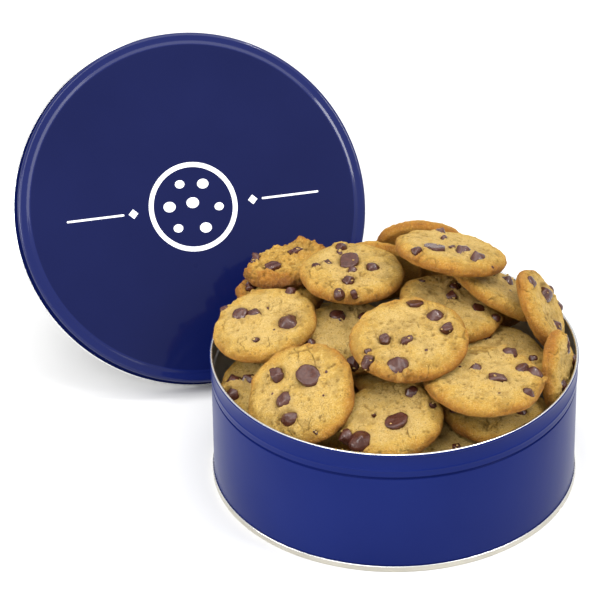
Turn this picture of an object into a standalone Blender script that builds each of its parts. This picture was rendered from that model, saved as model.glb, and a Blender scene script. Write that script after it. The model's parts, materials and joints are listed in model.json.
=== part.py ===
"""A round two-piece cookie tin: rolled body with a seamed bottom end, a drawn lid leaning behind it,
and the cookies that fill it, heaped over the rim. Metres, +Z up, the tin's front faces -Y.

The heap's cookies are placed roughly by hand, one line each, then moved apart until nothing overlaps.
Each cookie is treated as a flat disc with a ball rolled over it, so contact is a distance between discs.
"""
import bpy
import numpy as np
from math import asin, atan2, cos, pi, radians, sin, sqrt
from mathutils import Matrix, Vector

MM = 0.001

# Driving dimensions, in millimetres.
TIN_AXIS = (54.7, -45.2)        # the tin's axis, from the middle of the whole footprint
WALL_RADIUS = 93.5              # outside of the body wall
WALL = 0.6                      # body wall thickness
TIN_HEIGHT = 71.1               # table to the top of the rim
RIM_CURL = 0.9                  # radius of the rolled rim
BEAD_HEIGHT = 58.6              # middle of the bead the closed lid sits on
BEAD_HALF = 2.6                 # half its height
BEAD_PROUD = 0.5
SEAM_HEIGHT = 3.3               # double seam round the bottom
SEAM_RADIUS = 94.3
SEAM_INNER = 91.6               # inner side of the seam's foot ring
SEAM_FLOOR = 0.8                # floor of the channel that takes the wall's edge
PANEL_TOP = 3.5                 # inside floor of the tin
PANEL_STEP = 0.6                # expansion step pressed into the bottom
FIT = 0.3                       # clearance between assembled pieces

LID_RADIUS = 94.8               # outside of the skirt
LID_SHEET = 0.5
LID_HEIGHT = 14.8               # foot of the curl to the top of the panel
LID_SHOULDER = 2.8              # rounding between panel and skirt
LID_CURL = 0.5                  # radius of the skirt's rolled edge
LID_FOOT = (-97.4, 73.3)        # where the curl meets the table, from the tin's axis
LID_TURN = radians(13.5)        # heading of that contact line, from +X
LID_LEAN = radians(54.7)        # panel's slope: 0 lying flat, 90 degrees upright

BED_SHEET = 9.4                 # thickness and diameter of the flat cookies below
BED_SIZE = 54.0
BED_PITCH = 9.85                # layer to layer
BED_RING = 56.0                 # radius of the ring of six round the middle one
BED_LAYERS = 4
COOKIE = 8.0                    # thickness of a heaped cookie
GAP = 0.4                       # left between neighbouring cookies

# The heap from the bottom up: name, x, y, z and diameter in millimetres from the tin's axis and the
# table, then the slope and the heading it falls towards, in degrees.
HEAP = [
    ("cookie_fill_front", -28, -28, 49, 54, 3, 0),
    ("cookie_fill_back", -5, 30, 52, 54, 5, 90),
    ("cookie_fill_middle", 4, -12, 64, 52, 6, 30),
    ("cookie_fill_left", -35, 30, 64, 54, 6, 120),
    ("cookie_front_right_low", 26, -57, 54, 52, 8, -80),
    ("cookie_left_low", -62, -18, 63, 54, 15, -130),
    ("cookie_front_right", 50, -41, 66, 54, 8, -45),
    ("cookie_right_low", 52, -5, 73, 54, 10, -20),
    ("cookie_front", -2, -62, 70, 52, 15, -110),
    ("cookie_middle", -22, 3, 77, 54, 7, -75),
    ("cookie_back_left_low", -58, 46, 76, 48, 2, 150),
    ("cookie_back_left", -56, 60, 85, 50, 10, 150),
    ("cookie_back_right_low", 47, 50, 72, 56, 8, 30),
    ("cookie_back_upright_left", -12, 76, 75, 52, 66, 93),
    ("cookie_right_tilted", 53, 31, 87, 50, 34, 24),
    ("cookie_right_upright", 83, -20, 72, 42, 74, -10),
    ("cookie_right_leaning", 78, 12, 84, 45, 58, 2),
    ("cookie_front_left", -46, -49, 76, 57, 37, -127),
    ("cookie_left", -66, 6, 81, 55, 12, -145),
    ("cookie_top_right", 30, 17, 89, 53, 15, -18),
    ("cookie_right", 48, -44, 82, 60, 3, 20),
    ("cookie_top_left", -21, 33, 94, 55, 3, 60),
    ("cookie_top_centre", 8, -27, 94, 60, 8, -100),
    ("cookie_back_upright_right", 17, 78, 82, 52, 62, 88),
    ("cookie_crown", 28, 36, 103, 57, 18, 52),
]

BLUE = (0.021, 0.032, 0.165)
TINPLATE = (0.72, 0.70, 0.66)
GOLDEN = (0.60, 0.38, 0.12)
TIN_SEGMENTS = 56
HEAP_SEGMENTS = 20
BED_SEGMENTS = 14


def clear_scene():
    for item in list(bpy.data.objects):
        bpy.data.objects.remove(item)


def material(name, colour, roughness, metallic):
    made = bpy.data.materials.new(name)
    made.use_nodes = True
    shader = made.node_tree.nodes["Principled BSDF"]
    shader.inputs["Base Color"].default_value = (*colour, 1)
    shader.inputs["Roughness"].default_value = roughness
    shader.inputs["Metallic"].default_value = metallic
    made.diffuse_color = (*colour, 1)
    return made


def turned(name, profile, segments, closed, collection, look):
    """A solid of revolution about Z: the profile is (radius, height) in millimetres, outer side downward."""
    mesh = bpy.data.meshes.new(name)
    edges = [(i, i + 1) for i in range(len(profile) - 1)]
    if closed:
        edges.append((len(profile) - 1, 0))
    mesh.from_pydata([(r * MM, 0, z * MM) for r, z in profile], edges, [])
    piece = bpy.data.objects.new(name, mesh)
    collection.objects.link(piece)
    screw = piece.modifiers.new("turn", "SCREW")
    screw.axis = "Z"
    screw.angle = 2 * pi
    screw.steps = screw.render_steps = segments
    screw.use_merge_vertices = True
    screw.merge_threshold = 0.00002
    screw.use_smooth_shade = True
    mesh.materials.append(material(name, *look))
    return piece


def arc(centre, radius, start, end, count):
    """Points on an arc of the profile, angles in degrees from outward, positive upward."""
    angles = [radians(start + (end - start) * i / (count - 1)) for i in range(count)]
    return [(centre[0] + radius * cos(a), centre[1] + radius * sin(a)) for a in angles]


def body_shell(collection):
    """The wall: rolled rim, bead, straight side, lower edge inside the double seam."""
    inner = WALL_RADIUS - WALL
    curl = (WALL_RADIUS - 0.2, TIN_HEIGHT - RIM_CURL)
    bead = [(-1, 0), (-0.5, 0.6), (0, 1), (0.5, 0.6), (1, 0)]
    outside = [(WALL_RADIUS + BEAD_PROUD * out, BEAD_HEIGHT - BEAD_HALF * down) for down, out in bead]
    inside = [(radius - WALL, height) for radius, height in reversed(outside)]
    foot = SEAM_FLOOR + FIT
    profile = [(inner, curl[1])]
    profile += arc(curl, RIM_CURL, 115, -75, 7)
    profile += outside + [(WALL_RADIUS, foot), (inner, foot)] + inside
    return turned("body_shell", profile, TIN_SEGMENTS, True, collection, (BLUE, 0.3, 0.0))


def bottom_end(collection):
    """The bottom: a recessed panel with one expansion step, its edge folded up round the wall."""
    sheet = 0.5
    hook = WALL_RADIUS - WALL - FIT
    seam_wall = WALL_RADIUS + FIT
    low = PANEL_TOP - PANEL_STEP
    top = [(0, low), (68, low), (70, PANEL_TOP), (hook, PANEL_TOP)]
    channel = [(hook, SEAM_FLOOR), (seam_wall, SEAM_FLOOR), (seam_wall, SEAM_HEIGHT)]
    outside = [(SEAM_RADIUS, SEAM_HEIGHT - 0.2), (SEAM_RADIUS, 0.3), (SEAM_RADIUS - 0.3, 0)]
    below = [(SEAM_INNER, 0), (SEAM_INNER, PANEL_TOP - sheet), (70.4, PANEL_TOP - sheet)]
    profile = top + channel + outside + below + [(68.4, low - sheet), (0, low - sheet)]
    return turned("bottom_end", profile, TIN_SEGMENTS, False, collection, (TINPLATE, 0.25, 1.0))


def lid(collection):
    """The drawn lid, about its own axis: panel, shoulder, skirt and rolled edge."""
    inner = LID_RADIUS - LID_SHEET
    curl = (LID_RADIUS + 0.1, LID_CURL)
    shoulder = (LID_RADIUS - LID_SHOULDER, LID_HEIGHT - LID_SHOULDER)
    profile = [(0, LID_HEIGHT)] + arc(shoulder, LID_SHOULDER, 90, 0, 4)
    profile += arc(curl, LID_CURL, 70, -90, 5) + [(inner, 0.3)]
    profile += arc(shoulder, LID_SHOULDER - LID_SHEET, 0, 90, 4) + [(0, LID_HEIGHT - LID_SHEET)]
    piece = turned("lid", profile, TIN_SEGMENTS, False, collection, (BLUE, 0.3, 0.0))
    hinge = bpy.data.objects.new("lid_foot_line", None)
    collection.objects.link(hinge)
    hinge.location = (LID_FOOT[0] * MM, LID_FOOT[1] * MM, LID_CURL * MM)
    hinge.rotation_euler = (LID_LEAN, 0, LID_TURN)
    piece.parent = hinge
    piece.location = (0, curl[0] * MM, -LID_CURL * MM)
    return piece, hinge


def cookie(name, size, thickness, segments, collection):
    """A round-edged disc about its own middle."""
    half = thickness / 2
    edge = arc((size / 2 - half, 0), half, 90, -90, 5 if segments > BED_SEGMENTS else 3)
    profile = [(0, half)] + edge + [(0, -half)]
    return turned(name, profile, segments, False, collection, (GOLDEN, 0.75, 0.0))


def bed(collection):
    """The flat layers at the bottom of the tin: one cookie ringed by six, turned by half a step each layer."""
    pieces = []
    for layer in range(BED_LAYERS):
        height = PANEL_TOP + GAP + BED_SHEET / 2 + layer * BED_PITCH
        spots = [(0, 0)] + [(BED_RING * cos(a), BED_RING * sin(a))
                            for a in (radians(60 * k + 30 * (layer % 2)) for k in range(6))]
        for count, (x, y) in enumerate(spots, 1):
            name = f"cookie_layer_{layer + 1}_{count}"
            piece = cookie(name, BED_SIZE, BED_SHEET, BED_SEGMENTS, collection)
            piece.location = (x * MM, y * MM, height * MM)
            pieces.append(piece)
    return pieces


def disc_axes(normal):
    side = np.cross((0.0, 0.0, 1.0), normal)
    length = np.linalg.norm(side)
    side = side / length if length > 1e-6 else np.array((1.0, 0.0, 0.0))
    return side, np.cross(normal, side)


RINGS = np.array([(k * cos(a), k * sin(a)) for k in (1.0, 0.8, 0.55, 0.25)
                  for a in np.linspace(0, 2 * pi, 36, endpoint=False)] + [(0, 0)])


class Heap:
    """The heaped cookies as flat discs: centre, normal and radius of each, in millimetres."""

    def __init__(self, rows):
        self.half = COOKIE / 2
        self.centre = np.array([row[1:4] for row in rows], float)
        self.normal = np.array([(sin(radians(slope)) * cos(radians(heading)),
                                 sin(radians(slope)) * sin(radians(heading)),
                                 cos(radians(slope))) for *_, slope, heading in rows])
        self.radius = np.array([row[4] / 2 - self.half for row in rows])

    def points(self, i):
        side, ahead = disc_axes(self.normal[i])
        return self.centre[i] + self.radius[i] * (RINGS[:, :1] * side + RINGS[:, 1:] * ahead)

    def nearest(self, points, i):
        """The nearest points of disc i to some points."""
        away = points - self.centre[i]
        away = away - (away @ self.normal[i])[:, None] * self.normal[i]
        reach = np.maximum(np.linalg.norm(away, axis=1), 1e-9)
        return self.centre[i] + away * np.minimum(1.0, self.radius[i] / reach)[:, None]

    def contact(self, i, j):
        """The closest pair of points of two discs, and how far they are apart."""
        on_i = self.points(i)
        near_j = self.nearest(on_i, j)
        first = np.linalg.norm(on_i - near_j, axis=1)
        on_j = self.points(j)
        near_i = self.nearest(on_j, i)
        second = np.linalg.norm(near_i - on_j, axis=1)
        a, b = first.argmin(), second.argmin()
        if first[a] < second[b]:
            return on_i[a], near_j[a], first[a]
        return near_i[b], on_j[b], second[b]

    def wall_push(self, i):
        """How far, which way and where the tin's wall and rim push disc i."""
        reach = WALL_RADIUS - 0.5
        rim = TIN_HEIGHT - RIM_CURL
        points = self.points(i)
        radius = np.hypot(points[:, 0], points[:, 1])
        outward = np.column_stack([points[:, 0], points[:, 1], 0 * radius]) / np.maximum(radius, 1e-9)[:, None]
        beyond = radius - reach
        above = np.maximum(points[:, 2] - rim, 0)
        apart = np.where((beyond > 0) & (above == 0), -beyond, np.hypot(beyond, above))
        short = self.half + RIM_CURL + GAP - apart
        k = short.argmax()
        way = -outward[k] if above[k] == 0 else outward[k] * beyond[k] + np.array((0, 0, above[k]))
        return short[k], way / np.linalg.norm(way), points[k]

    def floor_push(self, i):
        points = self.points(i)
        k = points[:, 2].argmin()
        top = PANEL_TOP + BED_LAYERS * BED_PITCH + GAP
        return top + self.half - points[k, 2], np.array((0.0, 0.0, 1.0)), points[k]

    def settle(self, rounds=400, turn=0.3, keep=0.05):
        """Move overlapping cookies apart, holding each near its first place for the first half."""
        start, facing = self.centre.copy(), self.normal.copy()
        count = len(self.centre)
        for step in range(rounds):
            move, spin = np.zeros((count, 3)), np.zeros((count, 3))
            worst = 0.0

            def push(i, point, shift):
                move[i] += shift
                spin[i] += np.cross(point - self.centre[i], shift) * turn / self.radius[i] ** 2

            for i in range(count):
                for j in range(i):
                    reach = self.radius[i] + self.radius[j] + COOKIE + GAP
                    if np.linalg.norm(self.centre[i] - self.centre[j]) > reach:
                        continue
                    here, there, apart = self.contact(i, j)
                    short = COOKIE + GAP - apart
                    if short <= 0:
                        continue
                    worst = max(worst, short)
                    way = (here - there) / apart if apart > 0.05 else np.array((0.0, 0.0, 1.0))
                    push(i, here, way * short)
                    push(j, there, -way * short)
                for short, way, point in (self.wall_push(i), self.floor_push(i)):
                    if short > 0:
                        worst = max(worst, short)
                        push(i, point, way * short * 2)
            back = keep * max(0, 1 - 2 * step / rounds)
            self.centre += 0.3 * move + back * (start - self.centre)
            self.normal += 0.3 * np.cross(spin, self.normal) + back * (facing - self.normal)
            self.normal /= np.linalg.norm(self.normal, axis=1)[:, None]
            if worst < 0.02 and step > rounds / 2:
                return


def heap(collection):
    placed = Heap(HEAP)
    placed.settle()
    pieces = []
    for row, centre, normal in zip(HEAP, placed.centre, placed.normal):
        piece = cookie(row[0], row[4], COOKIE, HEAP_SEGMENTS, collection)
        piece.location = Vector(centre) * MM
        piece.rotation_euler = (0, asin(sqrt(normal[0] ** 2 + normal[1] ** 2)), atan2(normal[1], normal[0]))
        pieces.append(piece)
    return pieces


def main():
    clear_scene()
    collection = bpy.data.collections.new("cookie_tin")
    bpy.context.scene.collection.children.link(collection)
    pieces = [body_shell(collection), bottom_end(collection)]
    _, hinge = lid(collection)
    pieces += [hinge] + bed(collection) + heap(collection)
    for piece in pieces:
        piece.location += Vector((TIN_AXIS[0] * MM, TIN_AXIS[1] * MM, 0))


main()
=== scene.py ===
"""The looks of the cookie tin: a blue tin heaped with chocolate chip cookies, its lid leaning behind it.

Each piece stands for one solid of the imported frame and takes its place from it, apart from the side weld, the
lid's ornament and the crumbs on the rim, which are added. Shapes are in millimetres up to the moment a mesh
is made; lights and the axis are in metres. The photograph's side is -Y.
"""
import json
from itertools import product
from math import cos, pi, radians, sin, sqrt
from random import Random

import bpy
import numpy as np
from mathutils import Matrix, Vector


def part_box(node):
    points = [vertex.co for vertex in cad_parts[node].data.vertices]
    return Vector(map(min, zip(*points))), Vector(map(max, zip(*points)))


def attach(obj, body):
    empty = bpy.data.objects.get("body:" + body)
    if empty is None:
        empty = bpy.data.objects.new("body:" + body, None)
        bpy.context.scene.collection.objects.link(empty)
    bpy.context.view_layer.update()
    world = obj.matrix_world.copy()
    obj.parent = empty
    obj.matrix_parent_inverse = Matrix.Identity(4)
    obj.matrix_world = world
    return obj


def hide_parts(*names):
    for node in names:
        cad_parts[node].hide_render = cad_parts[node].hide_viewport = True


MM = 0.001

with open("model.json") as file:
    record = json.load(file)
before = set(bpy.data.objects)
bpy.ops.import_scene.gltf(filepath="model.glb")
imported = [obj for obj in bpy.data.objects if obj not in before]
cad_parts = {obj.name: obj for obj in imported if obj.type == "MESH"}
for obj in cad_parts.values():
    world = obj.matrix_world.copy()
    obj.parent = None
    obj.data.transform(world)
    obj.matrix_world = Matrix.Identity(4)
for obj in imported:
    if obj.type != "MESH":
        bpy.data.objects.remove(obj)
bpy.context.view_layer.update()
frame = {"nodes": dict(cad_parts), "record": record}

# The tin: its axis and height come from the frame, the rest repeats the CAD's section.
low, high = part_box("body_shell")
AXIS = Vector(((low[0] + high[0]) / 2, (low[1] + high[1]) / 2, 0))
RIM_TOP = high[2] / MM
WALL_RADIUS = 93.5
WALL = 0.6
RIM_CURL = 0.9
BEAD_HEIGHT = 58.6
BEAD_HALF = 2.1
BEAD_PROUD = 0.5
SEAM_RADIUS = 94.3
SEAM_HEIGHT = 3.3
SEAM_INNER = 91.6
PANEL_TOP = 3.5
TURN_STEPS = 288

# The lid, about its own axis: 0 is the foot of its curl.
LID_RADIUS = 94.8
LID_SHEET = 0.5
LID_HEIGHT = 14.8
LID_SKIRT = 94.1                # outside of the skirt above its rolled edge
LID_SHOULDER = 1.9
LID_STEP = 0.42                 # the panel stands this far above the band round it
LID_PANEL = 87.4                # radius where that step starts
LID_CURL = 0.8

# Two shades of each blue, how strongly it mirrors and how strong its clear coat is.
BLUES = {"body_lacquer": ((0.0028, 0.0100, 0.098), (0.0036, 0.0118, 0.108), 0.08, 0.05),
         # The lid's blue is a darker copy of the body's, painted shade for the lid facing the lights more.
         "lid_lacquer": ((0.0016, 0.0043, 0.044), (0.0020, 0.0050, 0.049), 0.08, 0.25),
         # The lid edge's blue is lighter than the lid's: a painted highlight on the step and shoulder.
         "lid_edge_painted_highlight_lacquer": ((0.0022, 0.0065, 0.066), (0.0028, 0.0075, 0.072), 0.10, 0.42),
         # The groove's blue is darker and hardly mirrors: painted shade in the bead's groove and at the wall's
         # foot.
         "groove_painted_shade_lacquer": ((0.0040, 0.0090, 0.080), (0.0050, 0.0110, 0.090), 0.02, 0.0),
         # The skirt's blue mirrors nothing: painted shade, a dark line round the lid.
         "skirt_painted_shade_lacquer": ((0.0022, 0.0046, 0.041), (0.0028, 0.0056, 0.048), 0.0, 0.0)}

# The camera: above and in front of the tin, far off, with a long lens and a slight roll.
VIEW_SLOPE = radians(35.2)
VIEW_DISTANCE = 1914.9
VIEW_AIM = (-47.6, 0.0, 100.9)  # from the foot of the tin's axis
VIEW_ROLL = radians(-0.86)
LENS = 220.4


# ---- small tools

def lattice(cell, seed):
    """A repeatable number from -1 to 1 for every whole-numbered cell."""
    mixed = cell.astype(np.int64).astype(np.uint32) * np.array((73856093, 19349663, 83492791), np.uint32)
    value = mixed[..., 0] ^ mixed[..., 1] ^ mixed[..., 2] ^ np.uint32((seed * 2654435761) % 2**32)
    for shift, factor in ((16, 73244475), (15, 668265261), (13, 1274126177)):
        value = (value ^ (value >> np.uint32(shift))) * np.uint32(factor)
    return value.astype(float) / 2**31 - 1


def noise(points, size, seed):
    """Smooth noise from -1 to 1, its lumps about this size."""
    scaled = points / size
    base = np.floor(scaled)
    part = scaled - base
    part = part ** 3 * (part * (part * 6 - 15) + 10)
    total = np.zeros(len(points))
    for corner in product((0, 1), repeat=3):
        weight = np.prod(np.where(corner, part, 1 - part), axis=-1)
        total += weight * lattice(base + corner, seed)
    return total


def smooth(value, start, end):
    """0 before start, 1 after end, with an easy slope between."""
    t = np.clip((value - start) / (end - start), 0, 1)
    return t * t * (3 - 2 * t)


def arc(centre, radius, start, end, count):
    """Points on an arc of a section, angles in degrees from outward, positive upward."""
    angles = np.radians(np.linspace(start, end, count))
    return [(centre[0] + radius * cos(a), centre[1] + radius * sin(a)) for a in angles]


def mesh_object(name, points, faces, looks, face_looks=None, smooth_shading=True):
    """A mesh object from points in millimetres; face_looks gives each face its place in the list of looks."""
    mesh = bpy.data.meshes.new(name)
    mesh.from_pydata((np.asarray(points) * MM).tolist(), [], faces)
    for look in looks:
        mesh.materials.append(look)
    if face_looks is not None:
        mesh.polygons.foreach_set("material_index", np.asarray(face_looks, np.int32))
    mesh.polygons.foreach_set("use_smooth", [smooth_shading] * len(faces))
    mesh.update()
    made = bpy.data.objects.new(name, mesh)
    bpy.context.scene.collection.objects.link(made)
    return made


def point_attribute(mesh, name, values):
    """Stores a number or a vector at every point, for a material to read."""
    if values.ndim == 1:
        mesh.attributes.new(name, "FLOAT", "POINT").data.foreach_set("value", values)
    else:
        mesh.attributes.new(name, "FLOAT_VECTOR", "POINT").data.foreach_set("vector", values.ravel())


def stands_for(piece, node):
    """Shows this piece in place of a solid of the frame, and moves it with that solid's body."""
    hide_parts(node)
    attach(piece, body_of(node))


def body_of(node):
    bodies = frame["record"]["behaviour"]["bodies"]
    return next(name for name, nodes in bodies.items() if node in nodes)


# ---- materials

class Nodes:
    """Builds one node material: each call adds a node and returns the socket it gives out."""

    def __init__(self, name):
        self.material = bpy.data.materials.new(name)
        self.material.use_nodes = True
        self.tree = self.material.node_tree
        self.shader = self.tree.nodes["Principled BSDF"]

    def add(self, kind, out=0, inputs=None, **settings):
        node = self.tree.nodes.new(kind)
        for key, value in settings.items():
            setattr(node, key, value)
        for key, value in (inputs or {}).items():
            self.put(node.inputs[key], value)
        return node.outputs[out]

    def put(self, socket, value):
        if isinstance(value, bpy.types.NodeSocket):
            self.tree.links.new(value, socket)
        elif isinstance(value, tuple) and len(value) == 3 and socket.type == "RGBA":
            socket.default_value = (*value, 1)
        else:
            socket.default_value = value

    def set(self, **values):
        for key, value in values.items():
            self.put(self.shader.inputs[key.replace("_", " ")], value)

    def attribute(self, name, out="Fac"):
        return self.add("ShaderNodeAttribute", out, attribute_name=name)

    def noise(self, where, scale, detail=3.0, roughness=0.55):
        return self.add("ShaderNodeTexNoise", 0, {"Vector": where, "Scale": scale, "Detail": detail,
                                                  "Roughness": roughness})

    def math(self, how, first, second=0.0, clamp=False):
        return self.add("ShaderNodeMath", 0, {0: first, 1: second}, operation=how, use_clamp=clamp)

    def range(self, value, low, high, to_low=0.0, to_high=1.0):
        return self.add("ShaderNodeMapRange", 0, {"Value": value, "From Min": low, "From Max": high,
                                                  "To Min": to_low, "To Max": to_high})

    def mix(self, amount, first, second):
        node = self.tree.nodes.new("ShaderNodeMix")
        node.data_type = "RGBA"
        self.put(node.inputs["Factor"], amount)
        self.put(node.inputs[6], first)
        self.put(node.inputs[7], second)
        return node.outputs[2]

    def bump(self, height, strength, distance, under=None):
        inputs = {"Height": height, "Strength": strength, "Distance": distance}
        if under is not None:
            inputs["Normal"] = under
        return self.add("ShaderNodeBump", 0, inputs)


def lacquer_material(name, shade, lighter, gloss, coat):
    """Blue lacquer over tinplate: an even colour, a soft gloss, faint orange peel and a little dust."""
    n = Nodes(name)
    where = n.add("ShaderNodeTexCoord", "Object")
    peel = n.noise(where, 900.0, 2.0)
    cloud = n.noise(where, 14.0, 3.0)
    dust = n.add("ShaderNodeTexVoronoi", "Distance", {"Vector": where, "Scale": 260.0})
    colour = n.mix(n.range(cloud, 0.35, 0.65), shade, lighter)
    speck = n.range(dust, 0.03, 0.05, 1.0, 0.0)
    rough = n.math("ADD", n.range(cloud, 0.3, 0.7, 0.27, 0.34), n.math("MULTIPLY", speck, 0.1))
    n.set(Base_Color=colour, Roughness=rough, Normal=n.bump(peel, 0.05, 0.0002))
    n.set(Specular_IOR_Level=gloss, Coat_Weight=coat, Coat_Roughness=0.07)
    return n.material


def tinplate_material(name, roughness, shade, lighter):
    """Bare tinplate: fine rolling lines, faint cloudy spangle and small scuffs."""
    n = Nodes(name)
    where = n.add("ShaderNodeTexCoord", "Object")
    stretched = n.add("ShaderNodeMapping", 0, {"Vector": where, "Scale": (40.0, 40.0, 2600.0)})
    rolled = n.noise(stretched, 1.0, 4.0)
    cloud = n.noise(where, 55.0, 3.0)
    scuff = n.noise(where, 700.0, 2.0)
    colour = n.mix(n.range(cloud, 0.3, 0.7), shade, lighter)
    rough = n.math("ADD", n.range(rolled, 0.3, 0.7, roughness - 0.05, roughness + 0.05),
                   n.range(scuff, 0.55, 0.8, 0.0, 0.12))
    n.set(Base_Color=colour, Roughness=rough, Normal=n.bump(rolled, 0.08, 0.0001), Metallic=1.0)
    return n.material


def print_material():
    """White ink, a little thin in places."""
    n = Nodes("white_print")
    where = n.add("ShaderNodeTexCoord", "Object")
    cloud = n.noise(where, 420.0, 3.0)
    n.set(Base_Color=n.mix(n.range(cloud, 0.3, 0.75), (0.90, 0.90, 0.93), (0.80, 0.81, 0.87)))
    n.set(Roughness=n.range(cloud, 0.3, 0.7, 0.28, 0.36), Normal=n.bump(cloud, 0.04, 0.0001))
    n.set(Coat_Weight=0.15, Coat_Roughness=0.12)
    return n.material


def dough_material():
    """Baked dough: pale and porous on top, golden to brown towards the edge and underneath, with painted shade
    in its hollows, cracks and pits.
    """
    n = Nodes("cookie_dough")
    where = n.attribute("grain", "Vector")
    baked = n.attribute("bake")
    hollow_and_painted_shade = n.attribute("hollow_and_painted_shade")
    stain = n.attribute("stain")
    broad = n.noise(where, 0.11, 3.0)
    middle = n.noise(where, 0.42, 5.0, 0.65)
    crumb = n.noise(where, 1.1, 6.0, 0.75)
    uneven = n.math("ADD", baked, n.range(broad, 0.3, 0.7, -0.12, 0.12))
    uneven = n.math("ADD", uneven, n.range(middle, 0.3, 0.7, -0.10, 0.10), clamp=True)
    ramp = n.tree.nodes.new("ShaderNodeValToRGB")
    shades = [(0.0, (0.680, 0.465, 0.148)), (0.22, (0.660, 0.415, 0.088)), (0.45, (0.600, 0.320, 0.048)),
              (0.70, (0.450, 0.175, 0.018)), (1.0, (0.200, 0.058, 0.009))]
    for place, shade in shades[1:-1]:
        ramp.color_ramp.elements.new(place)
    for element, (place, shade) in zip(ramp.color_ramp.elements, shades):
        element.position = place
        element.color = (*shade, 1)
    n.put(ramp.inputs[0], uneven)
    pale = n.math("MULTIPLY", n.range(crumb, 0.50, 0.66, 0.0, 0.65), n.range(baked, 0.2, 0.7, 1.0, 0.35))
    colour = n.mix(pale, ramp.outputs[0], (0.790, 0.605, 0.260))
    # Painted shade: a dark brown in the dough's hollows, cracks and pits.
    colour = n.mix(n.math("MULTIPLY", hollow_and_painted_shade, 0.8), colour, (0.25, 0.140, 0.025))
    colour = n.mix(n.math("MULTIPLY", stain, 0.22), colour, (0.34, 0.19, 0.070))
    pits = n.add("ShaderNodeTexVoronoi", "Distance", {"Vector": where, "Scale": 0.70, "Randomness": 1.0})
    chosen = n.noise(where, 0.3, 2.0)
    speck = n.math("MULTIPLY", n.range(pits, 0.13, 0.23, 1.0, 0.0), n.range(chosen, 0.44, 0.52))
    bent = n.add("ShaderNodeVectorMath", 0, {0: where, 1: n.noise(where, 0.8, 3.0)}, operation="ADD")
    cells = n.add("ShaderNodeTexVoronoi", "Distance", {"Vector": bent, "Scale": 0.45},
                  feature="DISTANCE_TO_EDGE")
    cracked = n.range(n.noise(where, 0.2, 2.0), 0.55, 0.62)
    crazed = n.math("MULTIPLY", n.range(cells, 0.02, 0.07, 1.0, 0.0), cracked)
    colour = n.mix(n.math("MULTIPLY", speck, 0.7), colour, (0.15, 0.070, 0.018))
    colour = n.mix(n.math("MULTIPLY", crazed, 0.45), colour, (0.22, 0.110, 0.022))
    colour = n.mix(n.range(crumb, 0.33, 0.48, 0.38, 0.0), colour, (0.46, 0.250, 0.036))
    grit = n.noise(where, 2.1, 2.0, 0.7)
    colour = n.mix(n.range(grit, 0.52, 0.66, 0.0, 0.6), colour, (0.42, 0.205, 0.030))
    fine = n.bump(n.math("ADD", crumb, n.math("MULTIPLY", grit, -0.35)), 1.0, 0.0020)
    pores = n.bump(n.range(pits, 0.05, 0.25), 0.5, 0.0006, fine)
    n.set(Base_Color=colour, Roughness=n.range(crumb, 0.3, 0.7, 0.86, 0.72))
    n.set(Normal=n.bump(middle, 0.5, 0.0014, pores), Specular_IOR_Level=0.25)
    return n.material


def chocolate_material():
    """Dark chocolate after baking: brown, a little bloomed and glossy."""
    n = Nodes("chocolate")
    where = n.attribute("grain", "Vector")
    broad = n.noise(where, 0.35, 3.0)
    fine = n.noise(where, 1.2, 4.0, 0.65)
    colour = n.mix(n.range(broad, 0.35, 0.7), (0.045, 0.0105, 0.0060), (0.080, 0.025, 0.015))
    colour = n.mix(n.range(fine, 0.58, 0.80, 0.0, 0.5), colour, (0.17, 0.080, 0.052))
    n.set(Base_Color=colour, Roughness=n.range(fine, 0.3, 0.7, 0.10, 0.27))
    n.set(Normal=n.bump(fine, 0.5, 0.0006, n.bump(broad, 0.4, 0.0014)), Specular_IOR_Level=0.3)
    n.set(Coat_Weight=0.35, Coat_Roughness=0.04)
    return n.material


# ---- sheet metal

def turned(name, section, steps, looks, section_looks, closed):
    """A sheet turned about Z: section is (radius, height), and each stretch of it has a look."""
    radius, height = np.array(section).T
    count = len(section)
    turn = np.linspace(0, 2 * pi, steps, endpoint=False)
    points = np.stack([np.outer(np.cos(turn), radius), np.outer(np.sin(turn), radius),
                       np.tile(height, (steps, 1))], -1).reshape(-1, 3)
    faces, face_looks = [], []
    for k in range(steps):
        here, there = k * count, (k + 1) % steps * count
        for i in range(count if closed else count - 1):
            j = (i + 1) % count
            corners = [here + i, here + j, there + j, there + i]
            if radius[i] < 1e-6:
                corners = [i, here + j, there + j]
            elif radius[j] < 1e-6:
                corners = [here + i, j, there + i]
            faces.append(corners)
            face_looks.append(section_looks[i])
    made = mesh_object(name, points, faces, looks, face_looks)
    trim = made.modifiers.new("edges", "EDGE_SPLIT")
    trim.split_angle = radians(35)
    return made


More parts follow.
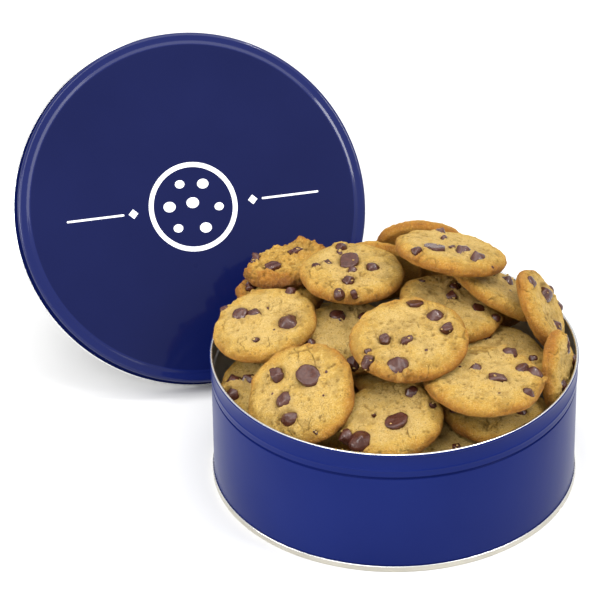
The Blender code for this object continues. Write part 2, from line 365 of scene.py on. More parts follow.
def tin_body(looks):
    """The wall: blue outside, with painted shade (a darker blue that hardly mirrors) in the groove under its
    bead and at its foot, and bare over the rim and inside.
    """
    blue, bright, dull, painted_shade = range(4)
    curl = (WALL_RADIUS - 0.2, RIM_TOP - RIM_CURL)
    inner = WALL_RADIUS - WALL
    ridge = [(-1.5, 0), (-1.35, 0.25), (-1.2, 0.62), (-1.1, 0.70), (-0.95, 0.55), (-0.6, 0.42), (-0.2, 0.46),
             (0.2, 0.50), (0.5, 0.35)]
    groove = [(0.6, -0.3), (0.7, -1.0), (0.8, -1.3), (1.1, -1.3), (1.25, -0.7)]
    ends = [(1.35, -0.1), (1.5, 0)]
    bead = ridge + groove + ends
    outside = [(WALL_RADIUS + BEAD_PROUD * out, BEAD_HEIGHT - BEAD_HALF * down) for down, out in bead]
    inside = [(r - WALL, z) for r, z in reversed(outside)]
    rim = arc(curl, RIM_CURL, 150, -70, 23)
    bare = 11                   # how many stretches of the rim the lacquer leaves bare
    section = [(inner, curl[1])] + rim + [(WALL_RADIUS, curl[1] - 1.4)]
    above = len(section) + len(ridge)
    section += outside + [(WALL_RADIUS, SEAM_HEIGHT + 0.8), (WALL_RADIUS - 0.1, SEAM_HEIGHT - 0.3)]
    foot = len(section) - 1
    section += [(inner - 0.1, SEAM_HEIGHT - 0.3)] + inside
    # The groove under the bead and the stretch above the foot take painted shade.
    section_looks = [bright] * bare + [blue] * (above - bare) + [painted_shade] * len(groove)
    section_looks += [blue] * (foot - 1 - above - len(groove)) + [painted_shade] + [dull] * (len(section) - foot)
    return turned("tin_wall", section, TURN_STEPS, looks, section_looks, True)


def tin_bottom(looks):
    """The bottom end: a seam ring with a painted highlight of brighter tinplate along its top, and a panel with
    a pressed ring and a step.
    """
    seam, bright = range(2)
    sheet = 0.5
    flat, raised = PANEL_TOP - 0.6, PANEL_TOP - 0.3
    top = [(0, flat), (30, flat), (30.8, raised), (32.2, raised), (33, flat), (68, flat), (70, PANEL_TOP),
           (WALL_RADIUS - WALL - 0.15, PANEL_TOP)]
    painted_highlight_stretches = 5                # how many stretches along the ring's top take the brighter tinplate, a painted highlight
    ring = [(WALL_RADIUS - WALL - 0.1, SEAM_HEIGHT - 0.1), (WALL_RADIUS + 0.1, SEAM_HEIGHT - 0.1)]
    ring += arc((SEAM_RADIUS - 0.45, SEAM_HEIGHT - 0.45), 0.45, 90, 0, 5)
    ring += [(SEAM_RADIUS - 0.06, SEAM_HEIGHT * 0.5)]
    ring += arc((SEAM_RADIUS - 0.5, 0.5), 0.5, 0, -90, 5)
    ring += arc((SEAM_INNER + 0.5, 0.5), 0.5, -90, -180, 5)
    below = [(SEAM_INNER, PANEL_TOP - sheet - 0.4), (SEAM_INNER - 0.4, PANEL_TOP - sheet),
             (70.2, PANEL_TOP - sheet), (68.2, flat - sheet), (33, flat - sheet), (32.2, raised - sheet),
             (30.8, raised - sheet), (30, flat - sheet), (0, flat - sheet)]
    section = top + ring + below
    rest = len(section) - 1 - len(top) - painted_highlight_stretches
    section_looks = [seam] * len(top) + [bright] * painted_highlight_stretches + [seam] * rest
    return turned("tin_bottom", section, TURN_STEPS, looks, section_looks, False)


def side_weld(look):
    """The welded joint of the body sheet, a narrow bare strip up the back."""
    half, proud = 1.9, 0.07
    heights = np.concatenate([np.linspace(SEAM_HEIGHT + 0.3, BEAD_HEIGHT - BEAD_HALF * 1.3, 24),
                              np.linspace(BEAD_HEIGHT + BEAD_HALF * 1.3, RIM_TOP - 2 * RIM_CURL, 5)])
    across = [(-1, -0.02), (-0.92, 0.6), (-0.3, 0.8), (-0.12, 1.5),
              (0.12, 1.5), (0.3, 0.8), (0.92, 0.6), (1, -0.02)]
    points, faces = [], []
    for z in heights:
        lift = BEAD_PROUD if abs(z - BEAD_HEIGHT) < BEAD_HALF else 0
        for side, out in across:
            heading = pi / 2 + side * half / WALL_RADIUS
            radius = WALL_RADIUS + proud * out + lift
            points.append((radius * cos(heading), radius * sin(heading), z))
    width = len(across)
    for row in range(len(heights) - 1):
        if heights[row] < BEAD_HEIGHT < heights[row + 1]:
            continue
        for k in range(width - 1):
            start = row * width + k
            faces.append([start, start + width, start + width + 1, start + 1])
    return mesh_object("side_weld", points, faces, [look])


def lid_shell(looks):
    """The drawn lid: raised panel, narrow band, shoulder, skirt and rolled edge, bare inside; a lighter blue on
    the step and shoulder is a painted highlight, and a blue that mirrors nothing on the skirt is painted shade.
    """
    panel_look, bare, painted_highlight_look, painted_shade_look = range(4)
    band = LID_HEIGHT - LID_STEP
    shoulder = (LID_SKIRT - LID_SHOULDER, band - LID_SHOULDER)
    curl = (LID_RADIUS - 0.2, LID_CURL)
    panel = [(0, LID_HEIGHT)] + [(r, LID_HEIGHT) for r in (20, 40, 60, 75, 84)]
    slope = [(LID_PANEL + 2.6 * t, LID_HEIGHT - LID_STEP * (1 - cos(pi * t)) / 2)
             for t in np.linspace(0, 1, 9)]
    edge = slope + [(91.6, band)] + arc(shoulder, LID_SHOULDER, 90, 18, 9)
    skirt = arc(shoulder, LID_SHOULDER, 12, 0, 3)
    skirt += [(LID_SKIRT, 6.0), (LID_SKIRT, 2.0), (LID_SKIRT + 0.2, 1.75)]
    rolled = arc(curl, LID_CURL, 75, -90, 12)
    inner = LID_SKIRT - LID_SHEET
    inside = [(inner, 0.3), (inner, 2.0), (inner, 6.0)]
    inside += arc(shoulder, LID_SHOULDER - LID_SHEET, 0, 90, 8)
    inside += [(r, z - LID_SHEET) for r, z in reversed(panel + slope)]
    section = panel + edge + skirt + rolled + inside
    # The step and shoulder take a painted highlight, the skirt painted shade.
    section_looks = [panel_look] * len(panel) + [painted_highlight_look] * len(edge) + [painted_shade_look] * len(skirt)
    section_looks += [bare] * (len(rolled) + len(inside))
    return turned("lid_shell", section, TURN_STEPS, looks, section_looks, False)


def lid_place():
    """Where the lid stands: its axis frame in the world, from the CAD lid's own points."""
    mesh = frame["nodes"]["lid"].data
    points = np.empty(len(mesh.vertices) * 3)
    mesh.vertices.foreach_get("co", points)
    points = points.reshape(-1, 3)
    axes = np.linalg.eigh(np.cov((points - points.mean(0)).T))[1]
    out = Vector(axes[:, 0])
    if out.y > 0:
        out = -out
    middle = Vector((points.max(0) + points.min(0)) / 2)
    along = points @ np.array(out)
    foot = along.min() - middle.dot(out)
    right = Vector((0, 0, 1)).cross(out).normalized()
    up = out.cross(right)
    turned_to = Matrix((right, up, out)).transposed().to_4x4()
    radial = points - np.outer(along, np.array(out))
    centre = Vector((radial.max(0) + radial.min(0)) / 2)
    centre += out * (middle.dot(out) + foot - centre.dot(out))
    return Matrix.Translation(centre) @ turned_to


# ---- the ornament printed on the lid

def flat_shape(outline, height):
    return [(x, y, height) for x, y in outline]


def disc_outline(x, y, radius, count, squash=1.0):
    turns = [2 * pi * k / count for k in range(count)]
    return [(x + radius * cos(turn), y + squash * radius * sin(turn)) for turn in turns]


def lid_ornament(look):
    """A plain cookie pictogram between two diamonds and two thin rules, in white."""
    height = LID_HEIGHT + 0.04
    points, faces = [], []

    def fill(outline):
        start = len(points)
        points.extend(flat_shape(outline, height))
        faces.append(list(range(start, start + len(outline))))

    outer, inner, count = 24.0, 21.4, 120
    ring = disc_outline(0, 0, outer, count) + disc_outline(0, 0, inner, count)
    start = len(points)
    points.extend(flat_shape(ring, height))
    for k in range(count):
        j = (k + 1) % count
        faces.append([start + k, start + j, start + count + j, start + count + k])
    chips = [(1, 13.5, 3.1), (3.2, 14.0, 2.5), (5.2, 13.0, 3.2), (7.4, 14.2, 2.6), (9.2, 12.8, 3.3),
             (11.2, 14.0, 2.6), (0, 2.2, 3.4)]
    for hour, out, size in chips:
        angle = radians(90 - 30 * hour)
        fill(disc_outline(out * cos(angle), out * sin(angle), size, 28, 0.85))
    near, far, half = 38, 68, 0.55
    for side in (-1, 1):
        ends = [(near + half * cos(a), half * sin(a)) for a in np.linspace(pi / 2, 3 * pi / 2, 7)]
        ends += [(far + half * cos(a), half * sin(a)) for a in np.linspace(-pi / 2, pi / 2, 7)]
        fill([(side * x, y) for x, y in ends][::side])
        fill([(side * 32.5 + 2.6 * cos(a), 2.6 * sin(a)) for a in (0, pi / 2, pi, 3 * pi / 2)])
    made = mesh_object("lid_ornament", points, faces, [look], smooth_shading=False)
    sheet = made.modifiers.new("ink", "SOLIDIFY")
    sheet.thickness = 0.06 * MM
    return made


# ---- cookies

# Chips that show, by the face of a clock seen from the front: hour, distance out (1 is the edge),
# length in millimetres and kind.
CHIPS = {
    "cookie_left": [(9.8, 0.45, 11, "sliver"), (10.4, 0.22, 8.5, "sliver"), (3.8, 0.52, 14, "dome"),
                    (6.4, 0.6, 5, "shard"), (1.2, 0.9, 7.5, "sliver"), (10.1, 0.90, 6, "sliver"),
                    (0.6, 0.3, 2, "speck"), (5.0, 0.45, 2, "speck")],
    "cookie_top_left": [(8.9, 0.67, 7, "shard"), (9.2, 0.48, 6, "sliver"), (11.2, 0.18, 14, "flat"),
                        (3.1, 0.38, 9, "dome"), (6.2, 0.53, 9.5, "shard"), (6.0, 0.18, 6, "sliver"),
                        (11.4, 0.72, 7.5, "sliver"), (11.0, 0.52, 5, "shard"), (6.5, 0.98, 7.5, "sliver"),
                        (5.9, 0.97, 6, "shard")],
    "cookie_top_centre": [(6.5, 0.78, 14, "dome"), (8.4, 0.44, 9.5, "shard"), (6.6, 0.22, 9.5, "shard"),
                          (7.6, 0.95, 9.5, "shard"), (0.2, 0.8, 10, "flat"), (1.4, 0.64, 11.5, "dome"),
                          (2.7, 0.62, 9.5, "shard"), (4.9, 0.5, 2.5, "speck"), (8.0, 0.8, 5, "sliver")],
    "cookie_front_left": [(10.9, 0.56, 11, "shard"), (1.5, 0.34, 14, "flat"), (8.5, 0.3, 11, "sliver"),
                          (7.1, 0.5, 10, "dome"), (5.7, 0.87, 3.5, "shard"), (2.4, 0.6, 2, "speck"),
                          (9.6, 0.5, 2, "speck"), (4.0, 0.5, 2, "speck")],
    "cookie_front": [(9.2, 0.3, 3.5, "shard"), (4.8, 0.22, 13, "flat"), (7.5, 0.85, 14, "dome"),
                     (8.1, 1.0, 10, "dome"), (1.3, 0.7, 8.5, "sliver"), (2.5, 0.85, 6, "shard")],
    "cookie_right": [(1.1, 0.76, 11, "sliver"), (2.35, 0.66, 9, "dome"), (2.6, 0.86, 10, "dome"),
                     (4.5, 0.28, 12, "shard"), (10.3, 0.2, 7.5, "sliver"), (4.1, 0.84, 7.5, "dome"),
                     (5.3, 0.6, 2.5, "speck"), (9.6, 0.45, 2, "speck")],
    "cookie_top_right": [(0.3, 0.56, 8, "shard"), (0.2, 0.2, 8, "shard"), (3.1, 0.54, 8, "flat"),
                         (10.4, 0.78, 4, "speck"), (3.3, 0.93, 6, "sliver"), (1.0, 0.6, 5, "shard")],
    "cookie_crown": [(11.5, 0.66, 7, "sliver"), (11.2, 0.33, 5, "sliver"), (7.5, 0.48, 13, "flat"),
                     (7.6, 0.88, 8, "shard"), (5.0, 0.36, 9, "sliver"), (4.7, 0.7, 9, "sliver"),
                     (6.0, 0.16, 6, "shard"), (4.4, 0.97, 2.5, "speck")],
    "cookie_middle": [(10.8, 0.48, 11, "sliver"), (8.2, 0.88, 9, "dome"), (5.9, 0.9, 8.5, "shard"),
                      (4.0, 0.4, 9.5, "shard"), (1.0, 0.5, 9, "dome")],
    "cookie_left_low": [(9.0, 0.72, 12, "sliver"), (8.9, 0.43, 10, "sliver"), (8.3, 0.76, 10, "sliver"),
                        (2.0, 0.4, 9, "dome")],
    "cookie_right_leaning": [(8.8, 0.82, 8, "sliver"), (10.7, 0.30, 12, "shard"), (0.3, 0.86, 8, "dome"),
                             (1.2, 0.92, 8, "dome"), (4.0, 0.5, 9, "dome")],
    "cookie_right_upright": [(10.0, 0.62, 11, "shard"), (0.6, 0.9, 9, "dome"), (5.0, 0.4, 9, "dome")],
    "cookie_right_tilted": [(4.6, 0.3, 3, "speck"), (11.0, 0.4, 8, "shard"), (1.0, 0.5, 9, "dome")],
    "cookie_right_low": [(3.6, 0.69, 6, "sliver"), (11.0, 0.5, 9, "dome"), (7.0, 0.6, 9, "shard")],
    "cookie_front_right_low": [(4.9, 0.38, 6, "shard"), (9.0, 0.4, 10, "dome"), (1.0, 0.6, 9, "dome")],
    "cookie_back_left": [(6.9, 0.5, 11, "shard"), (2.4, 0.3, 11, "shard"), (9.0, 0.6, 9.5, "shard")],
    "cookie_back_left_low": [(9.0, 0.7, 8.5, "shard"), (3.0, 0.5, 8.5, "shard")],
}
# How much more baked a cookie is than most, and how much rougher.
BROWNED = {"cookie_back_left": 0.36, "cookie_back_left_low": 0.33, "cookie_back_upright_left": -0.02,
           "cookie_back_upright_right": -0.02, "cookie_back_right_low": 0.34, "cookie_right_tilted": -0.05,
           "cookie_left": -0.02, "cookie_middle": -0.03, "cookie_front": 0.02}
CRAGGY = {"cookie_back_left": 2.8, "cookie_back_left_low": 2.6, "cookie_back_right_low": 1.5,
          "cookie_front_left": 1.15, "cookie_top_centre": 1.2, "cookie_right": 1.15}
# Sides broken off: the hour they face and how far out the break is.
BROKEN = {"cookie_back_left": [(10.5, 0.46)], "cookie_back_right_low": [(0.5, 0.8)]}
HIDDEN = {"cookie_fill_front", "cookie_fill_back", "cookie_fill_middle", "cookie_fill_left"}
UNDERSIDE_SHOWS = {"cookie_back_upright_left", "cookie_back_upright_right"}
# How each kind of chip sits: tilt in degrees, and its middle above the dough, as a share of its length.
SEAT = {"dome": ((0, 25), -0.24), "flat": ((4, 18), -0.02), "sliver": ((20, 50), -0.16),
        "shard": ((0, 40), -0.06), "speck": ((0, 40), -0.12)}
# Fewest crumbs on a chip, and one more than the most, by its kind.
CRUMBS_ON = {"dome": (0, 2), "flat": (0, 2), "sliver": (0, 2), "shard": (1, 4), "speck": (0, 1)}
# How flat a broken face is, by kind of chip.
CUT_DEPTH = {"dome": 0.55, "flat": 0.6, "sliver": 0.5, "shard": 0.8, "speck": 0.7}
# How much of each kind the dough covers, from the side away from where it shows.
COVER = {"dome": 0.08, "flat": 0.0, "sliver": 0.55, "shard": 0.3, "speck": 0.0}
EDGE_POWER = 8                  # how squarely the top turns over its edge
WIDEST = -0.28                  # height of the widest part, as a share of half the thickness
UNDER_CURVE = 2.7               # how far in the underside's rounded edge reaches
PITS = 70                       # small holes in the top
CRUMBS = 4                      # loose bits on top of each cookie
EDGE_BAKE = 0.72                # how baked the edge is, where 1 is darkest
UNDERSIDE_BAKE = 0.62
TOP_END = 0.6                   # where the top ends, on the way from its middle down to the underside
DOUGH, CHOCOLATE = range(2)     # places in a cookie's list of looks


def node_disc(name):
    """Pose, radius and thickness of a cookie's CAD solid, its top up and 12 o'clock away from the front."""
    mesh = frame["nodes"][name].data
    points = np.empty(len(mesh.vertices) * 3)
    mesh.vertices.foreach_get("co", points)
    points = np.unique(points.reshape(-1, 3).round(6), axis=0)
    centre = points.mean(0)
    axes = np.linalg.eigh(np.cov((points - centre).T))[1]
    up = Vector(axes[:, 0])
    if up.z < 0:
        up = -up
    ahead = (Vector((0, 1, 0)) - up * up.y).normalized()
    right = ahead.cross(up)
    along = (points - centre) @ np.array(up)
    across = np.linalg.norm(points - centre - np.outer(along, np.array(up)), axis=1)
    pose = Matrix.Translation(Vector(centre)) @ Matrix((right, ahead, up)).transposed().to_4x4()
    return pose, across.max() / MM, (along.max() - along.min()) / MM


def disc_grid(count):
    """A square grid squeezed into a unit disc: how far out and at what heading each point is."""
    line = np.linspace(-1, 1, count + 1)
    u, v = np.meshgrid(line, line)
    out = np.maximum(abs(u), abs(v))
    wide = abs(u) >= abs(v)
    safe_u, safe_v = np.where(u == 0, 1, u), np.where(v == 0, 1, v)
    turn = np.where(wide, v / safe_u * pi / 4 + (u < 0) * pi, pi / 2 - u / safe_v * pi / 4 + (v < 0) * pi)
    return out.ravel(), turn.ravel()


def by_length(radius, height):
    """A section looked up by the share of its length: radius, height and outward normal."""
    step = np.hypot(np.diff(radius), np.diff(height))
    length = np.concatenate([[0], np.cumsum(step)])
    share = length / length[-1]
    slope_r, slope_z = np.gradient(radius, length), np.gradient(height, length)

    def at(where):
        return [np.interp(where, share, values) for values in (radius, height, -slope_z, slope_r)]
    return at


def top_section(radius, half):
    """The top, from its middle out and down to the widest part."""
    reach = np.sin(np.linspace(0, pi / 2, 400))
    low = WIDEST * half
    return by_length(radius * reach, low + (half - low) * np.sqrt(1 - reach ** EDGE_POWER))


def under_section(radius, half):
    """The underside, from the widest part down and in to its middle."""
    turn = np.linspace(0, pi / 2, 60)
    low = WIDEST * half
    edge_r = radius - UNDER_CURVE * (1 - np.cos(turn))
    edge_z = low - (half + low) * np.sin(turn)
    flat_r = np.linspace(edge_r[-1], 0, 60)[1:]
    flat_z = -half + 0.3 * (1 - (flat_r / edge_r[-1]) ** 2)
    radius_all, height_all = np.concatenate([edge_r, flat_r]), np.concatenate([edge_z, flat_z])
    return by_length(radius_all, height_all)


def edge_loop(count):
    """The grid's outer points in order round the disc, starting at its lower left corner."""
    side = count + 1
    bottom = list(range(0, count))
    right = [k * side + count for k in range(0, count)]
    top = [count * side + k for k in range(count, 0, -1)]
    left = [k * side for k in range(count, 0, -1)]
    return bottom + right + top + left


def lump(kind, length, random, detail):
    """A chip about its own middle: points and faces in millimetres, up is out of the cookie."""
    rows, cols = detail, detail * 2
    polar = np.linspace(0, pi, rows + 1)[1:-1]
    turn = np.linspace(0, 2 * pi, cols, endpoint=False)
    ball = [(sin(p) * cos(t), sin(p) * sin(t), cos(p)) for p in polar for t in turn]
    ball = np.array([(0, 0, 1), *ball, (0, 0, -1)])
    faces = [[0, 1 + k, 1 + (k + 1) % cols] for k in range(cols)]
    for row in range(rows - 2):
        start = 1 + row * cols
        faces += [[start + k, start + cols + k, start + cols + (k + 1) % cols, start + (k + 1) % cols]
                  for k in range(cols)]
    last = len(ball) - 1
    faces += [[last - cols + k, last, last - cols + (k + 1) % cols] for k in range(cols)]
    half = length / 2
    out = np.hypot(ball[:, 0], ball[:, 1])
    seed = random.randrange(1 << 20)
    if kind in ("dome", "sliver"):
        height = np.where(ball[:, 2] > 0, 0.80 * np.abs(ball[:, 2]) ** 0.9, -0.3 * np.abs(ball[:, 2]) ** 0.5)
        height = height + 0.26 * np.exp(-(out / 0.3) ** 2) * (ball[:, 2] > 0)
        shape = np.column_stack([ball[:, 0], ball[:, 1] * 0.88, height]) * half
        ragged, cuts = 0.10, 2
    elif kind == "flat":
        spread = np.sign(ball[:, 2]) * np.abs(ball[:, 2]) ** 0.45
        height = 0.36 * spread - 0.16 * (1 - out ** 2) * (ball[:, 2] > 0)
        shape = np.column_stack([ball[:, 0], ball[:, 1] * 0.82, height]) * half
        ragged, cuts = 0.12, 2
    elif kind == "shard":
        blocky = np.sign(ball) * np.abs(ball) ** 0.75
        shape = blocky * (half, half * 0.66, half * 0.55)
        ragged, cuts = 0.24, 6
    else:
        shape = ball * (half, half * 0.8, half * 0.6)
        ragged, cuts = 0.25, 2
    push = noise(shape, length * 0.3, seed) + 0.4 * noise(shape, length * 0.13, seed + 1)
    shape = shape * (1 + ragged * push)[:, None]
    for _ in range(cuts):
        cut = np.array([random.gauss(0, 1) for _ in range(3)]) * (1, 1, 0.7)
        cut /= np.linalg.norm(cut)
        over = np.maximum(shape @ cut - half * random.uniform(0.45, 0.75), 0)
        shape = shape - np.outer(over * CUT_DEPTH[kind], cut)
    return shape, faces


class Parts:
    """Points and faces of one mesh, gathered piece by piece."""

    def __init__(self, points, faces):
        self.chunks, self.faces, self.looks = [points], list(faces), [DOUGH] * len(faces)

    def add(self, points, faces, look):
        start = sum(len(chunk) for chunk in self.chunks)
        self.chunks.append(points)
        self.faces += [[start + k for k in face] for face in faces]
        self.looks += [look] * len(faces)

    def points(self):
        return np.concatenate(self.chunks)


class Cookie:
    """One baked cookie about its own middle, Z up, in millimetres."""

    def __init__(self, name, radius, thick, grid, under_rings, chips):
        self.name = name
        self.random = Random(name)
        self.seed = self.random.randrange(1 << 20)
        self.radius, self.half = radius, thick / 2
        self.craggy = CRAGGY.get(name, 1.0)
        self.browned = BROWNED.get(name, self.random.uniform(-0.03, 0.05))
        self.chips = chips
        self.grid, self.under_rings = grid, under_rings

    def base(self):
        """The smooth cookie: points, normals, faces, and each point's way below the top, radius and turn."""
        out, turn = disc_grid(self.grid)
        r, z, normal_r, normal_z = top_section(self.radius, self.half)(out)
        below = (self.half - z) / (self.half * (1 - WIDEST)) * TOP_END
        side = self.grid + 1
        faces = [[row * side + k, row * side + k + 1, (row + 1) * side + k + 1, (row + 1) * side + k]
                 for row in range(self.grid) for k in range(self.grid)]
        loop = edge_loop(self.grid)
        loop_turn = turn[loop]
        shares = np.concatenate([np.linspace(0, 0.16, 6)[1:], np.linspace(0.16, 1, self.under_rings)[1:-1]])
        parts = [(r, z, normal_r, normal_z, turn, below)]
        rings = [loop]
        start = side * side
        for share in shares:
            ring = under_section(self.radius, self.half)(np.full(len(loop), share))
            ring_below = TOP_END + (1 - TOP_END) * min(1, share / 0.14)
            parts.append((*ring, loop_turn, np.full(len(loop), ring_below)))
            rings.append(list(range(start, start + len(loop))))
            start += len(loop)
        middle = under_section(self.radius, self.half)(np.array([1.0]))
        parts.append((*middle, np.zeros(1), np.ones(1)))
        for outer, inner in zip(rings, rings[1:]):
            faces += [[outer[k], inner[k], inner[(k + 1) % len(loop)], outer[(k + 1) % len(loop)]]
                      for k in range(len(loop))]
        last = rings[-1]
        faces += [[last[k], start, last[(k + 1) % len(loop)]] for k in range(len(loop))]
        r, z, normal_r, normal_z, turn, below = (np.concatenate(column) for column in zip(*parts))
        around = np.column_stack([np.cos(turn), np.sin(turn), 0 * turn])
        wave = 0.030 * noise(around * 1.3, 1.0, self.seed)
        wave += 0.012 * noise(around * 4, 1.0, self.seed + 1)
        wave -= 0.008
        wave *= 1 + 0.8 * (self.craggy - 1)
        for hour, out in BROKEN.get(self.name, ()):
            facing = np.cos(turn - radians(90 - 30 * hour))
            wave = np.minimum(wave, out / np.maximum(facing, out) - 1 + wave)
        r = r * (1 + wave * (r / self.radius) ** 2)
        points = np.column_stack([r * around[:, 0], r * around[:, 1], z])
        normals = np.column_stack([normal_r * around[:, 0], normal_r * around[:, 1], normal_z])
        return points, normals, faces, below, r, turn

    def relief(self, points, r, turn, top):
        """How far the dough stands off the smooth shape: lumps, folds, cracks and pits; also how much painted
        shade its cracks and pits get.
        """
        rise = 0.50 * noise(points, 10.0, self.seed + 2) + 0.44 * noise(points, 4.6, self.seed + 3)
        rise += 0.27 * noise(points, 2.3, self.seed + 4) + 0.20 * noise(points, 1.2, self.seed + 5)
        rings = np.column_stack([r / 2.4, turn * 2.2, 0 * r])
        rise += 0.24 * noise(rings, 1.0, self.seed + 6) * smooth(r, self.radius * 0.6, self.radius * 0.85)
        bend = points + 1.6 * np.column_stack([noise(points, 3.5, self.seed + k) for k in (7, 8, 9)])
        crack = np.abs(noise(bend, 6.5, self.seed + 10))
        where = smooth(noise(points, 9.0, self.seed + 11), 0.0, 0.3)
        hollow_and_painted_shade = 0.7 * (1 - smooth(crack, 0.0, 0.075)) * where
        rise -= 0.95 * hollow_and_painted_shade
        for _ in range(PITS):
            heading, reach = self.random.uniform(0, 2 * pi), sqrt(self.random.random()) * 0.92 * self.radius
            size, depth = self.random.uniform(0.35, 0.75), self.random.uniform(0.2, 0.8)
            apart = np.hypot(points[:, 0] - reach * cos(heading), points[:, 1] - reach * sin(heading))
            pit = np.exp(-(apart / size) ** 2) * top
            rise -= depth * pit
            hollow_and_painted_shade = np.maximum(hollow_and_painted_shade, pit * depth * 1.5)
        calm = np.where(top > 0, 1.0, 0.35)
        return self.craggy * rise * calm, hollow_and_painted_shade * top

    def sink_chips(self, points, rise, top):
        """Raises a lip round each chip, opens the dough under it and draws the dough over its hidden side."""
        stain = np.zeros(len(points))
        crumbly = 0.5 + noise(points, 1.5, self.seed + 12)
        seats = []
        for hour, out, length, kind in self.chips:
            angle = radians(90 - 30 * hour)
            x, y = out * self.radius * cos(angle), out * self.radius * sin(angle)
            away = points[:, :2] - (x, y)
            apart = np.hypot(*away.T) / (length / 2)
            showing = radians(90 - 30 * self.random.uniform(0, 12))
            behind = -(away @ (cos(showing), sin(showing))) / (length / 2)
            scale = min(1, length / 8) * top
            covered = COVER[kind]
            lip = np.exp(-((apart - 1.1) / 0.24) ** 2)
            rise = rise + lip * (0.10 + 0.36 * crumbly) * scale
            rise = rise - 0.9 * (1 - smooth(apart, 0.55, 1.0)) * scale
            blanket = smooth(behind + 0.45 * (crumbly - 0.5), 1 - 2 * covered, 1.3 - 2 * covered)
            blanket = blanket * np.exp(-(apart / 1.25) ** 4)
            rise = rise + (0.9 + 0.16 * length) * blanket * scale * (covered > 0)
            stain = np.maximum(stain, (1 - smooth(apart, 0.9, 1.4)) * top)
            seats.append((x, y, length, kind, showing))
        return rise, stain, seats

    def mesh(self, looks):
        """The finished cookie as one mesh object."""
        points, normals, faces, below, r, turn = self.base()
        top = (below < TOP_END).astype(float)
        rise, hollow_and_painted_shade = self.relief(points, r, turn, top)
        rise, stain, seats = self.sink_chips(points, rise, top)
        points = points + normals * rise[:, None]
        rim_bake = 0.62 * (np.minimum(below, TOP_END) / TOP_END) ** 0.62
        rim_bake += 0.10 * smooth(r, self.radius * 0.5, self.radius)
        deep = (UNDERSIDE_BAKE - EDGE_BAKE) * np.clip((below - TOP_END) / (1 - TOP_END), 0, 1)
        uneven = 0.10 * noise(points, 8.0, self.seed + 13)
        bake = np.clip(rim_bake + deep + self.browned + uneven, 0, 1)
        # Painted shade also where the top sinks below its smooth shape, chip sockets included.
        hollow_and_painted_shade = np.clip(np.clip(-rise / 1.2, 0, 0.5) * top + hollow_and_painted_shade, 0, 1)
        parts = Parts(points, faces)
        seat_points, seat_normals = points[top > 0], normals[top > 0]
        for x, y, length, kind, showing in seats:
            apart = np.hypot(seat_points[:, 0] - x, seat_points[:, 1] - y)
            near = apart.argmin()
            around = (apart < length * 0.75) & (apart > length * 0.35)
            level = seat_points[near, 2]
            if length > 3.2 and around.any():
                level = np.median(seat_points[around, 2])
            up = Vector(seat_normals[near]).normalized()
            (least, most), sink = SEAT[kind]
            shape, shape_faces = lump(kind, length, self.random, 14 if length > 5 else 9)
            slope = radians(self.random.uniform(least, most))
            tilt = Matrix.Rotation(slope, 3, (-sin(showing), cos(showing), 0))
            spin = Matrix.Rotation(self.random.uniform(0, 2 * pi), 3, "Z")
            lean = Vector((0, 0, 1)).rotation_difference(up).to_matrix()
            place = np.array((x, y, level)) + sink * length * np.array(up)
            shape = shape @ np.array(lean @ tilt @ spin).T
            parts.add(shape + place, shape_faces, CHOCOLATE)
            crown = shape[shape @ np.array(up) > 0.1 * length] + place
            for _ in range(self.random.randrange(*CRUMBS_ON[kind]) if len(crown) else 0):
                self.crumb(parts, crown[self.random.randrange(len(crown))])
        for _ in range(CRUMBS):
            angle, reach = self.random.uniform(0, 2 * pi), sqrt(self.random.random()) * self.radius * 0.85
            x, y = reach * cos(angle), reach * sin(angle)
            spot = np.hypot(seat_points[:, 0] - x, seat_points[:, 1] - y).argmin()
            self.crumb(parts, seat_points[spot])
        everything = parts.points()
        rest = np.zeros(len(everything) - len(points))
        name = self.name.replace("cookie_", "baked_")
        made = mesh_object(name, everything, parts.faces, looks, parts.looks)
        point_attribute(made.data, "bake", np.concatenate([bake, rest]))
        point_attribute(made.data, "hollow_and_painted_shade", np.concatenate([hollow_and_painted_shade, rest]))
        point_attribute(made.data, "stain", np.concatenate([stain, rest]))
        point_attribute(made.data, "grain", everything + self.random.uniform(100, 900))
        return made

    def crumb(self, parts, spot):
        """A loose bit of dough stuck to the top."""
        shape, shape_faces = lump("speck", self.random.uniform(0.7, 1.9), self.random, 6)
        parts.add(shape * (1, 1, 0.6) + spot, shape_faces, DOUGH)


def rim_crumbs(look):
    """Crumbs that fell on the front of the rim."""
    random = Random("rim crumbs")
    parts = Parts(np.zeros((0, 3)), [])
    for _ in range(11):
        heading = radians(random.uniform(252, 271))
        radius, size = random.uniform(WALL_RADIUS - 0.9, WALL_RADIUS + 0.2), random.uniform(0.5, 1.1)
        shape, shape_faces = lump("speck", size, random, 6)
        spot = (radius * cos(heading), radius * sin(heading), RIM_TOP + size * 0.18)
        parts.add(shape + spot, shape_faces, DOUGH)
    made = mesh_object("rim_crumbs", parts.points(), parts.faces, [look], parts.looks)
    for name, value in (("bake", 0.1), ("hollow_and_painted_shade", 0.0), ("stain", 0.0)):
        point_attribute(made.data, name, np.full(len(made.data.vertices), value))
    point_attribute(made.data, "grain", parts.points())
    return made


def random_chips(name, count):
    """Chips for a cookie whose top hardly shows."""
    random = Random(name + " chips")
    return [(random.uniform(0, 12), sqrt(random.uniform(0.02, 0.8)), random.uniform(4, 9),
             random.choice(("dome", "sliver", "shard", "flat"))) for _ in range(count)]


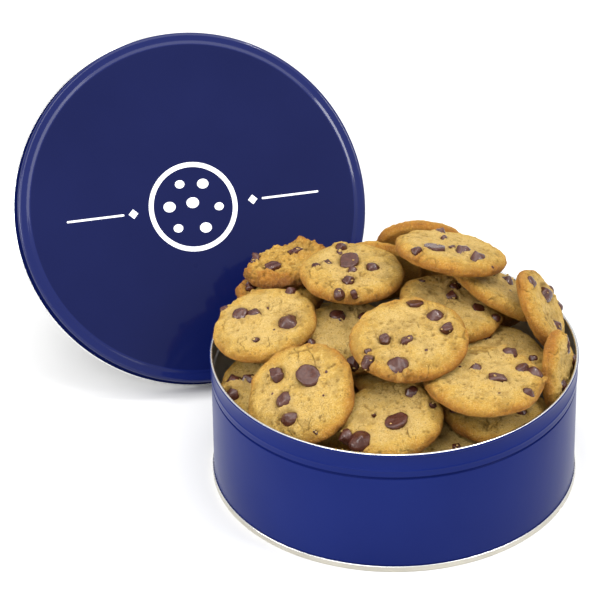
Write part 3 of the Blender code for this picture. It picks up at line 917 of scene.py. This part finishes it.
def cookies(looks):
    for name in sorted(n for n in frame["nodes"] if n.startswith("cookie_")):
        pose, radius, thick = node_disc(name)
        grid, rings = 104, 12
        if name.startswith("cookie_layer_") or name in HIDDEN:
            grid, rings, chips = 30, 6, random_chips(name, 4)
        elif name in UNDERSIDE_SHOWS:
            rings, chips = 30, []
        else:
            chips = CHIPS.get(name) or random_chips(name, 3)
        piece = Cookie(name, radius, thick, grid, rings, chips).mesh(looks)
        piece.data.transform(pose)
        stands_for(piece, name)


# ---- studio

def camera():
    foot = AXIS / MM
    aim = foot + Vector(VIEW_AIM)
    eye = foot + Vector((0, -VIEW_DISTANCE * cos(VIEW_SLOPE), VIEW_DISTANCE * sin(VIEW_SLOPE)))
    ahead = (aim - eye).normalized()
    level = ahead.cross(Vector((0, 0, 1))).normalized()
    upright = level.cross(ahead)
    right = cos(VIEW_ROLL) * level + sin(VIEW_ROLL) * upright
    up = cos(VIEW_ROLL) * upright - sin(VIEW_ROLL) * level
    lens = bpy.data.cameras.new("camera")
    lens.lens = LENS
    lens.sensor_width = 36.0
    lens.clip_end = 20.0
    made = bpy.data.objects.new("camera", lens)
    made.matrix_world = Matrix.Translation(eye * MM) @ Matrix((right, up, -ahead)).transposed().to_4x4()
    bpy.context.scene.collection.objects.link(made)
    bpy.context.scene.camera = made


def softbox(name, place, aim, size, watts):
    """A white rectangular light, its place, what it faces and its size in metres."""
    light = bpy.data.lights.new(name, "AREA")
    light.shape = "RECTANGLE"
    light.size, light.size_y = size
    light.energy = watts
    made = bpy.data.objects.new(name, light)
    made.location = place
    made.rotation_euler = (Vector(aim) - Vector(place)).to_track_quat("-Z", "Y").to_euler()
    bpy.context.scene.collection.objects.link(made)


def studio():
    scene = bpy.context.scene
    scene.view_settings.view_transform = "Standard"
    world = bpy.data.worlds.new("studio")
    world.use_nodes = True
    world.node_tree.nodes["Background"].inputs["Color"].default_value = (1, 1, 1, 1)
    world.node_tree.nodes["Background"].inputs["Strength"].default_value = 0.85
    scene.world = world
    n = Nodes("paper_floor")
    n.set(Base_Color=(0.68, 0.68, 0.68), Roughness=0.8, Specular_IOR_Level=0.2)
    half = 4000
    corners = [(-half, -half, 0), (half, -half, 0), (half, half, 0), (-half, half, 0)]
    floor = mesh_object("floor", corners, [[0, 1, 2, 3]], [n.material], smooth_shading=False)
    softbox("key", (-0.50, -0.95, 1.50), (0.0, 0.0, 0.09), (0.9, 0.9), 12)
    softbox("overhead", (0.25, 0.05, 1.9), (0.0, 0.0, 0.05), (2.0, 1.8), 28)
    softbox("left", (-0.95, -0.40, 0.45), (-0.16, -0.06, 0.0), (0.5, 0.4), 6)
    softbox("right", (1.40, -0.55, 1.35), (0.03, 0.0, 0.09), (0.5, 0.5), 13)
    softbox("front", (-0.45, -1.90, 0.45), (0.0, 0.0, 0.10), (1.5, 0.25), 3)
    softbox("sparkle", (0.75, 0.10, 1.6), (0.05, -0.04, 0.08), (0.10, 0.10), 5)


def main():
    camera()
    studio()
    wall_blue, lid_blue, edge_painted_highlight, groove_painted_shade, skirt_painted_shade = (
        lacquer_material(name, *look) for name, look in BLUES.items())
    tinplate = tinplate_material("tinplate", 0.25, (0.68, 0.68, 0.67), (0.80, 0.80, 0.79))
    inside = tinplate_material("tinplate_inside", 0.42, (0.60, 0.59, 0.57), (0.72, 0.71, 0.69))
    seam = tinplate_material("tinplate_seam", 0.32, (0.56, 0.53, 0.45), (0.64, 0.61, 0.53))
    wall = tin_body([wall_blue, tinplate, inside, groove_painted_shade])
    bottom = tin_bottom([seam, tinplate])
    weld = side_weld(tinplate)
    for piece in (wall, bottom, weld):
        piece.data.transform(Matrix.Translation(AXIS))
    stands_for(wall, "body_shell")
    stands_for(bottom, "bottom_end")
    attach(weld, "root")
    place = lid_place()
    shell = lid_shell([lid_blue, tinplate, edge_painted_highlight, skirt_painted_shade])
    ornament = lid_ornament(print_material())
    for piece in (shell, ornament):
        piece.data.transform(place)
    stands_for(shell, "lid")
    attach(ornament, body_of("lid"))
    dough = dough_material()
    cookies([dough, chocolate_material()])
    crumbs = rim_crumbs(dough)
    crumbs.data.transform(Matrix.Translation(AXIS))
    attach(crumbs, "root")


main()
